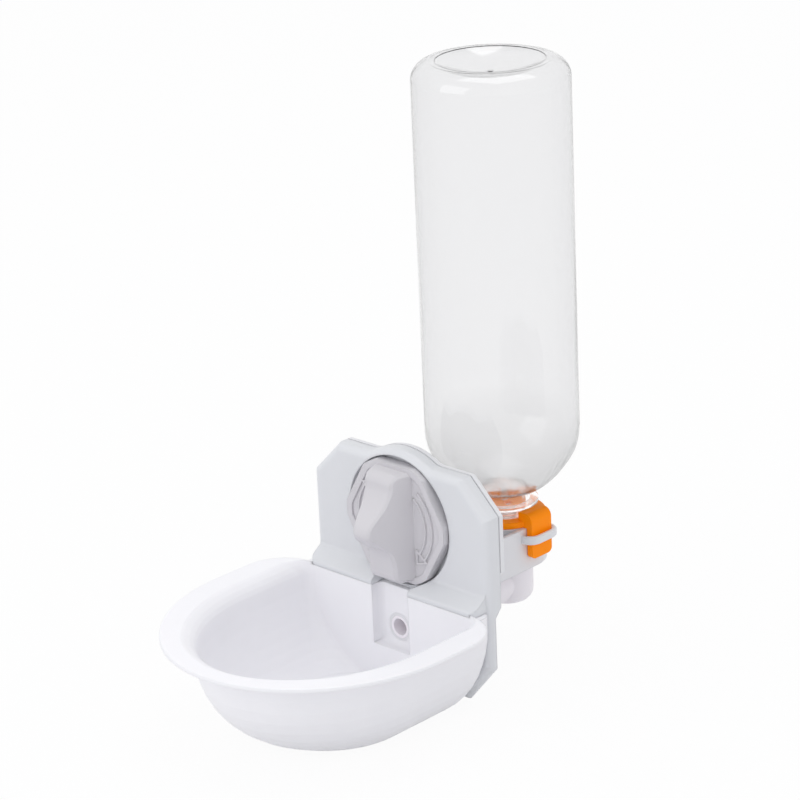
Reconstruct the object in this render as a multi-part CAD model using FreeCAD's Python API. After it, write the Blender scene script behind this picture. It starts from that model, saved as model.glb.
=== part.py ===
import FreeCAD, Part
import math
import os

# Cage-hung gravity water dispenser for pets, in millimetres.
# +Z is up, the drinking bowl reaches forward along -Y and the bottle stands behind, along +Y.
# The origin is on the clamp screw's axis, in the plane of the front plate's back face,
# which bears on the wires of the cage.

# Front plate
plate_half_width = 56.0
plate_depth = 8.0
plate_lower_depth = 4.0
plate_shoulder_height = 29.5
plate_shoulder_chamfer = 16.5
plate_foot_drop = 81.8
plate_foot_chamfer_width = 17.0
plate_foot_chamfer_height = 20.0
plate_dome_radius = 35.0
plate_dome_blend = 11.0
plate_edge_round = 4.0
plate_wall = 2.4
plate_step_top = -32.0
plate_step_slope = 4.5
plate_rib_offset = 11.0
plate_rib_thickness = 1.8

# Knob recess in the front plate
recess_radius = 32.0
recess_depth = 4.4
recess_floor = 2.0
clip_pocket_radius = 9.5

# Ledge over the bowl's back wall
ledge_half_length = 53.5
ledge_reach = 8.5
ledge_top_drop = 25.5
ledge_foot_drop = 33.0
ledge_end_round = 4.0
ledge_wall = 2.0
ledge_nose_height = 1.2
ledge_heel_rise = 1.6
ledge_heel_round = 2.6
ledge_nose_round = 1.6

# Drinking bowl
bowl_half_width = 74.0
bowl_front_reach = 138.8
bowl_widest_reach = 58.0
bowl_rim_drop = 31.6
bowl_rim_thickness = 2.0
bowl_rim_corner = 22.0
bowl_wall = 2.2
bowl_drop = 83.4
bowl_side_inset = 17.4
bowl_front_inset = 13.4
bowl_foot_half_width = 31.9
bowl_foot_front_inset = 40.0
bowl_corner_round = 5.5
bowl_rear_round = 4.0
bowl_foot_corner_growth = 16.0
bowl_flare = 8.0
bowl_profile_power = 1.06
bowl_steps = 9
bowl_last_angle = 81.0
bowl_foot_angle = 87.3
flare_width = 8.6
flare_end_angle = 65.0
flare_steps = 5
rim_sink = 0.5
rim_lip = 0.7
pocket_angle = 63.0
pocket_side_margin = 4.4
pocket_foot_margin = 9.4

# Water channel in the bowl's back wall
channel_half_width = 11.7
channel_depth = 6.1
channel_foot_drop = 63.0
channel_round = 3.0

# Clamp knob
knob_rim_gap = 0.8
knob_flat_drop = 2.4
knob_thickness = 5.4
knob_border_width = 3.4
knob_border_height = 0.8
grip_rim_margin = 1.8
grip_base_half_width = 11.6
grip_nose_half_width = 4.6
grip_base_reach = 10.5
grip_nose_reach = 24.2
grip_nose_level = 0.5
grip_upper_width = 11.5
grip_lower_width = 8.6
grip_end_round = 5.0
grip_edge_slant = 1.2
grip_steps = 10
grip_wall = 2.4
arrow_rim_margin = 9.7
arrow_band = 5.2
arrow_line = 1.1
arrow_height = 0.9
arrow_tip_angle = -38.0
arrow_tail_angle = 50.0
arrow_point_half_width = 4.75
arrow_point_length = 6.65

# Clamp screw, nut and cover
screw_radius = 4.0
screw_reach = 24.0
screw_head_flats = 13.0
screw_head_height = 5.3
screw_head_sink = 0.5
screw_tip_chamfer = 0.8
nut_flats = 13.0
nut_height = 6.5
nut_seat_rise = 0.4
nut_corner_reach = 7.15
washer_radius = 11.0
washer_thickness = 1.0
clip_radius = 7.2
clip_thickness = 1.0
clip_groove = 0.7
clip_mouth = 5.6
cover_radius = 9.0
cover_wall = 1.6
cover_flange_radius = 11.0
cover_flange_thickness = 1.8
cover_overreach = 3.0
cover_end_slant = 1.6

# Rear bracket
rear_plate_gap = 0.5
rear_plate_thickness = 3.4
rear_plate_foot_drop = 22.0
rear_plate_foot_chamfer = 7.0
rear_edge_round = 1.6
tongue_half_width = 22.0
tongue_foot_drop = 66.0
tongue_foot_chamfer = 8.0
rib_top = 22.0
rib_knee = 6.0
rib_knee_depth = 5.0
rib_foot_depth = 7.0
rib_foot_lap = 1.0
nut_boss_radius = 13.0
cup_radius = 20.0
cup_wall = 2.0
cup_rim_drop = 21.2
cup_height = 21.6
bottle_offset = 66.2
loop_half_length = 11.0
loop_reach = 27.2
loop_thickness = 2.5
loop_height = 4.2
loop_drop = 24.0
loop_corner_round = 6.5
loop_edge_slant = 0.7

# Feed elbow
elbow_radius = 13.0
elbow_wall = 2.0
elbow_drop = 65.0
elbow_foot_round = 5.5
elbow_neck_wall = 2.7
elbow_neck_rise = 3.6
duct_radius = 11.0
duct_axis_drop = 54.0
duct_wall = 2.0
spigot_radius = 5.6
spigot_wall = 1.4

# Seals
outlet_seal_thickness = 1.3
elbow_seal_depth = 1.4
elbow_seal_height = 1.8
elbow_seal_drop = 3.4

# Bottle
bottle_radius = 37.5
bottle_wall = 0.7
bottle_top = 206.6
bottle_base_round = 9.0
bottle_foot_radius = 26.0
bottle_dish_depth = 6.0
gate_mark_radius = 1.3
gate_mark_height = 0.7
shoulder_start = 28.0
shoulder_height = 38.0
neck_radius = 12.5
neck_bore = 10.9
neck_length = 17.1
support_ring_radius = 16.5
support_ring_thickness = 1.8
bead_radius = 14.0
bead_thickness = 1.6
bead_gap = 3.0
thread_radius = 13.6
thread_pitch = 3.2
thread_start = 2.0
thread_crest = 0.5
thread_flank = 0.8

# Valve cap
cap_flange_thickness = 3.0
cap_skirt_radius = 16.6
cap_thread_bore = 13.9
cap_end_thickness = 2.0
cap_nozzle_radius = 8.8
cap_nozzle_bore = 6.5
cap_nozzle_length = 4.8
cap_seat_bore = 5.0
lug_half_width = 7.2
lug_rise = 4.2
lug_start_radius = 15.2
tab_gap = 0.5
tab_thickness = 3.1
tab_length = 15.5
tab_foot_round = 2.6
cap_rim_slant = 0.5

# Valve
gasket_thickness = 1.0
valve_travel = 4.0
plunger_head_radius = 7.2
plunger_head_thickness = 1.5
plunger_stem_radius = 1.8
plunger_stem_below = 8.4
plunger_stem_above = 15.6
plunger_hub_radius = 3.2
plunger_hub_height = 1.6
plunger_foot_radius = 2.7
plunger_foot_height = 1.0
seal_radius = 7.6
seal_thickness = 1.5
cage_radius = 10.3
cage_height = 19.0
cage_wall = 1.4
cage_leg_width = 4.0
cage_base_height = 2.0
cage_vent_start = 3.4
cage_vent_end = 8.0
cage_vent_width = 3.2
spring_radius = 5.2
spring_wire = 0.5
spring_turns = 5
spring_sides = 6
lifter_ring_width = 1.6
lifter_ring_height = 2.4
lifter_drop = 10.0
lifter_step = 1.3
lifter_arm_width = 2.2
lifter_pin_radius = 1.9

# Bowl screws
bowl_screw_radius = 1.5
bowl_screw_head_radius = 3.2
bowl_screw_head_height = 1.4
bowl_screw_length = 9.0
bowl_screw_side = 30.0
bowl_screw_drop = 72.0
bowl_boss_radius = 4.2
bowl_screw_head_slant = 0.5

# Clearances
seat_gap = 0.05
slide_gap = 0.3
thread_gap = 0.06
plate_to_bowl_gap = 0.1

# How far cutters pass beyond a face and joined solids sink into each other
over = 1.0
lap = 0.5
skim = 0.05
# Nearness and levelness by which edges are picked for rounding, and the lap of joined bodies
near = 0.1
level_run = 0.01
joint_lap = 0.1

# Values that follow from the sizes above
plate_front = -plate_depth
recess_face = plate_front + recess_depth
recess_back = recess_face + recess_floor
ledge_front = plate_front - ledge_reach
bowl_back_face = ledge_front
bowl_wall_rear = plate_front - plate_to_bowl_gap
channel_floor = bowl_back_face + channel_depth
bowl_wall_top = -ledge_foot_drop - plate_to_bowl_gap
flare_foot = -bowl_rim_drop - bowl_flare
knob_back = recess_face - seat_gap - washer_thickness - seat_gap
knob_face = knob_back - knob_thickness
knob_corner_radius = recess_radius - knob_rim_gap
knob_flat_radius = knob_corner_radius - knob_flat_drop
grip_half_height = knob_flat_radius - grip_rim_margin
arrow_radius = knob_corner_radius - arrow_rim_margin
rear_plate_back = rear_plate_gap + rear_plate_thickness
nut_seat = rear_plate_back + nut_seat_rise
cover_seat = nut_seat + nut_height + seat_gap
cup_floor = -cup_rim_drop - cup_height + cup_wall
cap_seat = -cup_rim_drop + seat_gap
cap_top = cap_seat + cap_flange_thickness
bead_base = cap_top + seat_gap
bead_top = bead_base + bead_thickness
support_ring_base = bead_top + bead_gap
support_ring_top = support_ring_base + support_ring_thickness
neck_mouth = support_ring_base - neck_length
gasket_base = neck_mouth - gasket_thickness
cap_end_top = gasket_base
cap_end_base = cap_end_top - cap_end_thickness
nozzle_foot = cap_end_base - cap_nozzle_length
seal_base = cap_end_top + valve_travel
head_base = seal_base + seal_thickness
head_top = head_base + plunger_head_thickness
stem_foot = seal_base - plunger_stem_below
elbow_neck_top = cup_floor + elbow_neck_rise
lifter_seat = elbow_neck_top - lifter_drop
duct_start = rear_plate_back + seat_gap


def vec(x, y, z):
    """A point or direction."""
    return FreeCAD.Vector(x, y, z)


def polygon_face(points):
    """A flat face from a closed run of corner points."""
    return Part.Face(Part.makePolygon(points + [points[0]]))


def prism_y(points_xz, y_from, y_to):
    """A straight prism along Y from an outline in the XZ plane."""
    face = polygon_face([vec(x, y_from, z) for x, z in points_xz])
    return face.extrude(vec(0, y_to - y_from, 0))


def prism_x(points_yz, x_from, x_to):
    """A straight prism along X from an outline in the YZ plane."""
    face = polygon_face([vec(x_from, y, z) for y, z in points_yz])
    return face.extrude(vec(x_to - x_from, 0, 0))


def cylinder_y(radius, y_from, y_to, x=0.0, z=0.0):
    """A round bar along Y."""
    return Part.makeCylinder(radius, y_to - y_from, vec(x, y_from, z), vec(0, 1, 0))


def cylinder_z(radius, z_from, z_to, y=0.0):
    """A round bar along Z on the symmetry plane."""
    return Part.makeCylinder(radius, z_to - z_from, vec(0, y, z_from), vec(0, 0, 1))


def box(x_from, x_to, y_from, y_to, z_from, z_to):
    """A block between two corners."""
    size = vec(x_to - x_from, y_to - y_from, z_to - z_from)
    return Part.makeBox(size.x, size.y, size.z, vec(x_from, y_from, z_from))


def revolve_z(points_rz, y=0.0):
    """A body turned about a vertical axis from radius and height pairs."""
    face = polygon_face([vec(r, 0, z) for r, z in points_rz])
    turned = face.revolve(vec(0, 0, 0), vec(0, 0, 1), 360)
    turned.translate(vec(0, y, 0))
    return turned


def hexagon_y(flats, y_from, y_to):
    """A six-sided bar along Y, with flats above and below."""
    corner = flats / 2 / math.cos(math.pi / 6)
    angles = [math.radians(60 * step) for step in range(6)]
    points = [(corner * math.cos(angle), corner * math.sin(angle)) for angle in angles]
    return prism_y(points, y_from, y_to)


def edges_along_y(shape, low, high, test):
    """Straight edges parallel to Y whose middle passes the test."""
    found = []
    for edge in shape.Edges:
        first = edge.Vertexes[0].Point
        last = edge.Vertexes[-1].Point
        straight = abs(first.x - last.x) < 1e-4 and abs(first.z - last.z) < 1e-4
        if straight and abs(last.y - first.y) > (high - low) * 0.9 and test(first):
            found.append(edge)
    return found


def dome_meet():
    """Half-width at which the dome rises from the shoulder."""
    return math.sqrt(plate_dome_radius ** 2 - plate_shoulder_height ** 2)


def plate_outline(foot_drop, foot_chamfer_width, foot_chamfer_height, y_from, y_to, inset=0.0):
    """The upright plate: chamfered shoulders, a dome over the knob and a chamfered foot."""
    half = plate_half_width - inset
    top = plate_shoulder_height - inset
    foot = -foot_drop + inset
    slack = inset * math.tan(math.pi / 8)
    chamfer = plate_shoulder_chamfer - inset + slack
    foot_width = foot_chamfer_width - inset + slack
    foot_height = foot_chamfer_height - inset + slack
    right = [(half - chamfer, top), (half, top - chamfer)]
    right += [(half, foot + foot_height), (half - foot_width, foot)]
    left = [(-x, z) for x, z in reversed(right)]
    plate = prism_y(right + left, y_from, y_to)
    dome = cylinder_y(plate_dome_radius - inset, y_from, y_to)
    plate = plate.fuse(dome.common(box(-half, half, y_from, y_to, 0, plate_dome_radius)))
    plate = plate.removeSplitter()
    blend = edges_along_y(plate, y_from, y_to, lambda point: is_dome_corner(point, inset))
    return plate.makeFillet(plate_dome_blend + inset, blend)


def is_dome_corner(point, inset):
    """True on the two valleys between the dome and the shoulders."""
    high = abs(point.z - (plate_shoulder_height - inset)) < level_run
    return high and abs(abs(point.x) - dome_meet()) < 4.0 and abs(point.x) < plate_half_width / 2


def face_rim(shape, y_face):
    """Outer edges of a plate's face that lies at a depth."""
    faces = [f for f in shape.Faces if abs(f.BoundBox.YMin - y_face) < 1e-3 and f.BoundBox.YLength < 1e-3]
    face = max(faces, key=lambda item: item.Area)
    return face.OuterWire.Edges


def step_profile(y_deep, y_shallow, margin):
    """The back of the front plate: deep above, shallow below, in the YZ plane."""
    top = plate_step_top
    return [
        (y_deep, top),
        (y_shallow, top - plate_step_slope),
        (y_shallow, -plate_foot_drop - margin),
        (y_deep + margin, -plate_foot_drop - margin),
        (y_deep + margin, top),
    ]


def ledge():
    """The sloping ledge over the bowl's back wall, with a hollow heel, a blunt nose and rounded ends."""
    x = -ledge_half_length
    heel = vec(x, plate_front, ledge_heel_rise - ledge_top_drop)
    nose = vec(x, ledge_front, ledge_nose_height - ledge_foot_drop)
    slope = tangent_slope(heel, nose)
    points = [nose, vec(x, ledge_front, -ledge_foot_drop), vec(x, plate_front + over, -ledge_foot_drop),
              vec(x, plate_front + over, heel.z), heel]
    wire = Part.Wire(slope + Part.makePolygon(points).Edges)
    solid = Part.Face(wire).extrude(vec(2 * ledge_half_length, 0, 0))
    ends = box(-ledge_half_length, ledge_half_length, ledge_front, plate_front + 2 * over,
               -ledge_foot_drop, heel.z)
    corners = edges_of(ends, lambda e: e.BoundBox.ZLength > ledge_nose_height
                       and e.CenterOfMass.y < plate_front)
    return solid.common(ends.makeFillet(ledge_end_round, corners))


def tangent_slope(heel, nose):
    """A hollow arc, a straight run and a full arc from heel to nose, upright at both ends."""
    turn = ledge_heel_round + ledge_nose_round
    reach = heel.y - nose.y
    fall = heel.z - nose.z
    run = math.sqrt((reach - turn) ** 2 + fall ** 2 - turn ** 2)
    tilt = math.atan2(fall, reach - turn) - math.atan2(turn, run)
    bend = math.pi / 2 - tilt

    def along(start, radius, angle, way):
        return start + vec(0, -way * radius * (1 - math.cos(angle)), -way * radius * math.sin(angle))

    first = along(heel, ledge_heel_round, bend, 1)
    last = along(nose, ledge_nose_round, bend, -1)
    return [
        Part.Arc(heel, along(heel, ledge_heel_round, bend / 2, 1), first).toShape(),
        Part.makeLine(first, last),
        Part.Arc(last, along(nose, ledge_nose_round, bend / 2, -1), nose).toShape(),
    ]


def ledge_hollow():
    """The space inside the ledge, open to the plate's back."""
    slope = (ledge_foot_drop - ledge_top_drop) / ledge_reach
    wall = ledge_wall * math.hypot(1, slope)
    floor = -ledge_foot_drop + ledge_wall
    back = plate_front + plate_wall + joint_lap
    depth = (ledge_foot_drop - ledge_wall - ledge_top_drop - wall) / slope
    profile = [
        (back, floor),
        (plate_front - depth, floor),
        (plate_front, -ledge_top_drop - wall),
        (back, -ledge_top_drop - wall),
    ]
    end = ledge_half_length - ledge_end_round
    start = math.sqrt((recess_radius + ledge_wall) ** 2 - ledge_top_drop ** 2)
    side = prism_x(profile, start, end)
    return side.fuse(side.mirror(vec(0, 0, 0), vec(1, 0, 0)))


def front_plate():
    """The moulded front plate: a hollow tray with the knob's recess and the ledge."""
    foot = (plate_foot_drop, plate_foot_chamfer_width, plate_foot_chamfer_height)
    plate = plate_outline(*foot, plate_front, 0.0)
    plate = plate.makeFillet(plate_edge_round, face_rim(plate, plate_front))
    plate = plate.cut(prism_x(step_profile(0.0, -plate_depth + plate_lower_depth, over),
                              -plate_half_width - over, plate_half_width + over))
    pocket = plate_outline(*foot, plate_front + plate_wall, over, plate_wall)
    pocket = pocket.cut(cylinder_y(recess_radius + plate_wall, plate_front, 2 * over))
    for side in (-1, 1):
        rib_x = side * (recess_radius + plate_rib_offset)
        half = plate_rib_thickness / 2
        pocket = pocket.cut(box(rib_x - half, rib_x + half, plate_front, 2 * over,
                                plate_step_top, plate_shoulder_height))
    collar_radius = spigot_radius + slide_gap + plate_wall
    pocket = pocket.cut(cylinder_y(collar_radius, plate_front, 2 * over, 0.0, -duct_axis_drop))
    plate = plate.cut(pocket)
    plate = plate.fuse(ledge())
    plate = plate.cut(ledge_hollow())
    plate = plate.cut(recess_back_hollow())
    reach = ledge_front - over
    plate = plate.cut(cylinder_y(recess_radius, reach, recess_face))
    notch = box(-channel_half_width, channel_half_width, reach, plate_front,
                -ledge_foot_drop - over, -ledge_top_drop)
    plate = plate.cut(notch)
    plate = plate.cut(cylinder_y(screw_radius + slide_gap, plate_front, over))
    plate = plate.cut(cylinder_y(spigot_radius + slide_gap, plate_front - over, over, 0.0, -duct_axis_drop))
    for side in (-1, 1):
        plate = plate.cut(cylinder_y(bowl_screw_radius + slide_gap, plate_front - over, over,
                                     side * bowl_screw_side, -bowl_screw_drop))
    return plate.removeSplitter()


def recess_back_hollow():
    """The space behind the recess floor, crossed by two ribs that leave room for the screw's clip."""
    hollow = cylinder_y(recess_radius, recess_back, over)
    half = plate_rib_thickness / 2
    cross = box(-recess_radius, recess_radius, recess_back, over, -half, half)
    cross = cross.fuse(box(-half, half, recess_back, over, -recess_radius, recess_radius))
    return hollow.cut(cross.cut(cylinder_y(clip_pocket_radius, recess_back - over, 2 * over)))


def bowl_section(half, front, back, corner, z):
    """One level outline of the bowl: half an ellipse in front, straight sides, round back corners."""
    centre = -bowl_widest_reach
    reach = centre - front
    ellipse = Part.Ellipse(vec(0, centre, z), max(half, reach), min(half, reach))
    if reach > half:
        ellipse = Part.Ellipse(vec(0, front, z), vec(half, centre, z), vec(0, centre, z))
        arc = Part.ArcOfEllipse(ellipse, -math.pi / 2, math.pi / 2).toShape()
    else:
        arc = Part.ArcOfEllipse(ellipse, math.pi, 2 * math.pi).toShape()
    tilt = corner * (1 - math.sqrt(0.5))
    side = back - corner
    right = [
        Part.makeLine(vec(half, centre, z), vec(half, side, z)),
        Part.Arc(vec(half, side, z), vec(half - tilt, back - tilt, z), vec(half - corner, back, z)).toShape(),
    ]
    left = [
        Part.Arc(vec(corner - half, back, z), vec(tilt - half, back - tilt, z), vec(-half, side, z)).toShape(),
        Part.makeLine(vec(-half, side, z), vec(-half, centre, z)),
    ]
    rear = Part.makeLine(vec(half - corner, back, z), vec(corner - half, back, z))
    return Part.Wire(Part.__sortEdges__([arc] + right + [rear] + left))


def bowl_draw(angle):
    """How far the bowl's wall has drawn in, from 0 under the flare towards 1 at the foot."""
    return 1 - math.cos(math.radians(angle)) ** bowl_profile_power


def bowl_level(angle):
    """Half-width, front and height of the bowl's outer wall at an angle down its rounded side."""
    fall = math.sin(math.radians(angle)) ** bowl_profile_power
    draw = bowl_draw(angle)
    z = flare_foot - (bowl_drop + flare_foot) * fall
    upper = bowl_half_width - bowl_side_inset
    half = upper + (bowl_foot_half_width - upper) * draw
    front = -bowl_front_reach + bowl_front_inset + bowl_foot_front_inset * draw
    return half, front, z


def flat_back(shape, back):
    """A bowl shape with everything behind a flat upright plane taken off."""
    half = bowl_half_width + over
    return shape.cut(box(-half, half, back, over, -bowl_drop - over, over))


def bowl_body(wall, back, corner):
    """The bowl's rounded body as a loft through level outlines, drawn in by a wall."""
    wires = []
    for step in range(bowl_steps + 1):
        angle = bowl_last_angle * step / bowl_steps
        half, front, z = bowl_level(angle)
        lift = wall / 2 * math.sin(math.radians(angle))
        grown = corner + bowl_foot_corner_growth * bowl_draw(angle)
        wires.append(bowl_section(half - wall, front + wall, back + skim, grown, z + lift))
    half, front, z = bowl_level(bowl_foot_angle)
    grown = corner + bowl_foot_corner_growth * bowl_draw(bowl_foot_angle)
    wires.append(bowl_section(half - wall, front + wall, back + skim, grown, wall - bowl_drop))
    return flat_back(Part.makeLoft(wires, True, True), back)


def flare(wall, width, height, back, corner):
    """The curved spread between wall and rim, as a loft that widens upward."""
    half, front, z = bowl_level(0.0)
    end = math.radians(flare_end_angle)
    wires = []
    for step in range(flare_steps + 1):
        angle = end * step / flare_steps
        out = width * (1 - math.cos(angle)) / (1 - math.cos(end)) - wall
        level = z + height * math.sin(angle) / math.sin(end)
        wires.append(bowl_section(half + out, front - out, back + skim, corner + out + wall, level))
    return flat_back(Part.makeLoft(wires, True, True), back)


def bowl_rim():
    """The flared rim with its blunted lip."""
    low = -bowl_rim_drop - bowl_rim_thickness
    slant = rim_lip / 2
    wires = []
    for inset, rise in ((slant, 0), (0, slant), (0, bowl_rim_thickness - rim_lip),
                        (slant / 2, bowl_rim_thickness - slant / 2), (rim_lip, bowl_rim_thickness)):
        wires.append(bowl_section(bowl_half_width - inset, inset - bowl_front_reach,
                                  bowl_back_face - plate_to_bowl_gap, bowl_rim_corner - inset, low + rise))
    return Part.makeLoft(wires, True, True)


def back_riser():
    """The top of the bowl's thick back wall, up to the underside of the ledge."""
    half, front, z = bowl_level(0.0)
    face = Part.Face(bowl_section(half, front, bowl_wall_rear, bowl_rear_round, z))
    riser = face.extrude(vec(0, 0, bowl_wall_top - z))
    return riser.common(box(-half - over, half + over, bowl_back_face - bowl_wall, 0, z - over, over))


def drinking_bowl():
    """The bowl with its flared rim, thick hollow back wall and water channel."""
    bowl = bowl_body(0.0, bowl_wall_rear, bowl_rear_round)
    under = bowl_flare - bowl_rim_thickness + rim_sink
    bowl = bowl.fuse(flare(0.0, flare_width - bowl_wall, under, bowl_back_face + bowl_wall, bowl_rear_round))
    bowl = bowl.fuse(bowl_rim())
    bowl = bowl.fuse(back_riser())
    bowl = bowl.cut(bowl_body(bowl_wall, bowl_back_face, bowl_corner_round))
    bowl = bowl.cut(flare(bowl_wall, flare_width, bowl_flare + lap, bowl_back_face, bowl_corner_round))
    bowl = bowl.cut(channel_cut())
    bowl = bowl.cut(back_pockets())
    hole = cylinder_y(spigot_radius + outlet_seal_thickness, channel_floor - over, bowl_wall_rear + over,
                      0.0, -duct_axis_drop)
    bowl = bowl.cut(hole)
    for side in (-1, 1):
        bowl = bowl.cut(cylinder_y(bowl_screw_radius + thread_gap, bowl_back_face + bowl_wall / 2,
                                   bowl_wall_rear + over, side * bowl_screw_side, -bowl_screw_drop))
    return bowl.removeSplitter()


def channel_cut():
    """The upright groove that leads water from the outlet into the bowl."""
    foot = -channel_foot_drop
    groove = box(-channel_half_width, channel_half_width, bowl_back_face - channel_round - over,
                 channel_floor, foot, -ledge_foot_drop + over)
    corners = edges_of(groove, lambda edge: edge.CenterOfMass.y > channel_floor - near
                       and (abs(edge.CenterOfMass.x) > channel_half_width - near
                            or edge.CenterOfMass.z < foot + near))
    return groove.makeFillet(channel_round, corners)


def edges_of(shape, test):
    """The edges of a shape that pass a test."""
    return [edge for edge in shape.Edges if test(edge)]


def back_pockets():
    """Two hollows behind the back wall, beside the channel, with the screw bosses left standing."""
    half, front, z = bowl_level(pocket_angle)
    pockets = None
    inner = channel_half_width + bowl_wall
    outer = half - bowl_wall - pocket_side_margin
    low = -bowl_drop + pocket_foot_margin
    high = bowl_wall_top - bowl_wall
    for side in (-1, 1):
        x_from = min(side * inner, side * outer)
        x_to = max(side * inner, side * outer)
        pocket = box(x_from, x_to, bowl_back_face + bowl_wall, bowl_wall_rear + over, low, high)
        boss = cylinder_y(bowl_boss_radius, bowl_back_face, bowl_wall_rear + over,
                          side * bowl_screw_side, -bowl_screw_drop)
        pocket = pocket.cut(boss)
        pockets = pocket if pockets is None else pockets.fuse(pocket)
    return pockets


def grip_reach(height):
    """How far the grip's crest stands out at a height: a bell, fuller above its nose than below."""
    width = grip_upper_width if height > grip_nose_level else grip_lower_width
    swell = math.exp(-((height - grip_nose_level) / width) ** 2)
    return grip_base_reach + (grip_nose_reach - grip_base_reach) * swell


def grip_wall_profile(shrink, y_base):
    """The grip's outline seen from the side, set in by a wall, as one closed wire."""
    top = grip_half_height - shrink
    turn = grip_end_round - shrink / 2
    side = top - turn
    points = []
    for step in range(grip_steps + 1):
        height = side - 2 * side * step / grip_steps
        points.append(vec(0, knob_face + shrink - grip_reach(height), height))
    crest = Part.BSplineCurve()
    crest.interpolate(Points=points, InitialTangent=vec(0, 0, -1), FinalTangent=vec(0, 0, -1))
    edges = [crest.toShape()]
    tilt = turn * (1 - math.sqrt(0.5))
    for point, sign in ((points[0], 1), (points[-1], -1)):
        shoulder = vec(0, point.y + turn, sign * top)
        edges.append(Part.Arc(point, vec(0, point.y + tilt, sign * (top - tilt)), shoulder).toShape())
        edges.append(Part.makeLine(shoulder, vec(0, y_base, sign * top)))
    edges.append(Part.makeLine(vec(0, y_base, top), vec(0, y_base, -top)))
    return Part.Wire(Part.__sortEdges__(edges))


def grip_solid(shrink, y_base):
    """The knob's grip: a bell-shaped bar whose flat sides close in towards its nose."""
    base = grip_base_half_width - shrink
    nose = grip_nose_half_width - shrink / 2
    front = knob_face - grip_nose_reach - over
    profile = Part.Face(grip_wall_profile(shrink, y_base))
    profile.translate(vec(-base, 0, 0))
    bar = profile.extrude(vec(2 * base, 0, 0))
    sides = polygon_face([vec(-base, y_base, -grip_half_height), vec(base, y_base, -grip_half_height),
                          vec(base, knob_face, -grip_half_height), vec(nose, front, -grip_half_height),
                          vec(-nose, front, -grip_half_height), vec(-base, knob_face, -grip_half_height)])
    return bar.common(sides.extrude(vec(0, 0, 2 * grip_half_height)))


def blunted_grip():
    """The outer grip with its long edges blunted."""
    grip = grip_solid(0.0, knob_face + lap)
    edges = edges_of(grip, lambda e: e.CenterOfMass.y < knob_face - over and abs(e.CenterOfMass.x) > over)
    return grip.makeChamfer(grip_edge_slant, edges)


def knob_blank(y_from, y_to, shrink):
    """A hexagon with corners rounded off by a circle, flats above and below."""
    blank = hexagon_y(2 * (knob_flat_radius - shrink), y_from, y_to)
    return blank.common(cylinder_y(knob_corner_radius - shrink, y_from, y_to))


def turning_arrow(side):
    """A raised outline of a curved arrow beside the grip, pointing down on the right side."""
    low = knob_face - arrow_height
    outer = arrow_radius + arrow_band / 2
    inner = arrow_radius - arrow_band / 2
    band = cylinder_y(outer, low, knob_face + lap).cut(cylinder_y(inner, low - over, knob_face + over))
    core = cylinder_y(outer - arrow_line, low - over, knob_face + over)
    core = core.cut(cylinder_y(inner + arrow_line, low - 2 * over, knob_face + 2 * over))
    sector_points = [(0, 0)]
    for angle in (arrow_tip_angle, (arrow_tip_angle + arrow_tail_angle) / 2, arrow_tail_angle):
        reach = 2 * outer
        sector_points.append((reach * math.cos(math.radians(angle)), reach * math.sin(math.radians(angle))))
    sector = prism_y(sector_points, low - 3 * over, knob_face + 3 * over)
    line = band.common(sector).cut(core.common(sector))
    head = arrow_head(low, arrow_tip_angle)
    shape = line.fuse(head)
    if side < 0:
        shape.rotate(vec(0, 0, 0), vec(0, 1, 0), 180)
    return shape


def arrow_head(low, angle):
    """The raised outline of the arrow's point at one end of its band."""
    turn = math.radians(angle)
    radial = (math.cos(turn), math.sin(turn))
    along = (math.sin(turn), -math.cos(turn))
    centre = (arrow_radius * radial[0], arrow_radius * radial[1])

    def corner(out, forward):
        return (centre[0] + out * radial[0] + forward * along[0],
                centre[1] + out * radial[1] + forward * along[1])

    half = arrow_point_half_width
    length = arrow_point_length
    outer = prism_y([corner(half, 0), corner(0, length), corner(-half, 0)], low, knob_face + lap)
    slant = math.hypot(half, length)
    tip = length - arrow_line * slant / half
    side = half - arrow_line * (slant + half) / length
    inner = prism_y([corner(side, arrow_line), corner(0, tip), corner(-side, arrow_line)],
                    low - over, knob_face + over)
    return outer.cut(inner)


def clamp_knob():
    """The clamp knob: rounded six-sided disc, raised border, hollow arched grip and arrows."""
    disc = knob_blank(knob_face, knob_back, 0.0)
    border = knob_blank(knob_face - knob_border_height, knob_face + lap, 0.0)
    border = border.cut(knob_blank(knob_face - 2 * over, knob_face + over, knob_border_width))
    knob = disc.fuse(border)
    knob = knob.fuse(blunted_grip())
    for side in (-1, 1):
        knob = knob.fuse(turning_arrow(side))
    hollow = grip_solid(grip_wall, knob_back + lap)
    post_radius = screw_head_flats / 2 / math.cos(math.pi / 6) + grip_wall
    post = cylinder_y(post_radius, knob_face - grip_nose_reach, knob_back + over)
    knob = knob.cut(hollow.cut(post))
    pocket_floor = screw_head_front() - seat_gap
    knob = knob.cut(hexagon_y(screw_head_flats + 2 * seat_gap, pocket_floor, knob_back + over))
    return knob.removeSplitter()


def screw_head_front():
    """Where the screw's head begins, inside the knob."""
    return knob_back - screw_head_sink - screw_head_height


def clamp_screw():
    """The clamp screw: hexagon head held in the knob, plain shank and a groove for its clip."""
    head = hexagon_y(screw_head_flats, screw_head_front(), screw_head_front() + screw_head_height)
    shank = cylinder_y(screw_radius, screw_head_front(), screw_reach)
    shank = shank.makeChamfer(screw_tip_chamfer, far_edges(shank, screw_reach))
    groove_start = recess_back + seat_gap
    ring = cylinder_y(screw_radius + over, groove_start, groove_start + clip_thickness + seat_gap)
    ring = ring.cut(cylinder_y(screw_radius - clip_groove, groove_start - over,
                               groove_start + clip_thickness + over))
    return head.fuse(shank).cut(ring)


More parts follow.
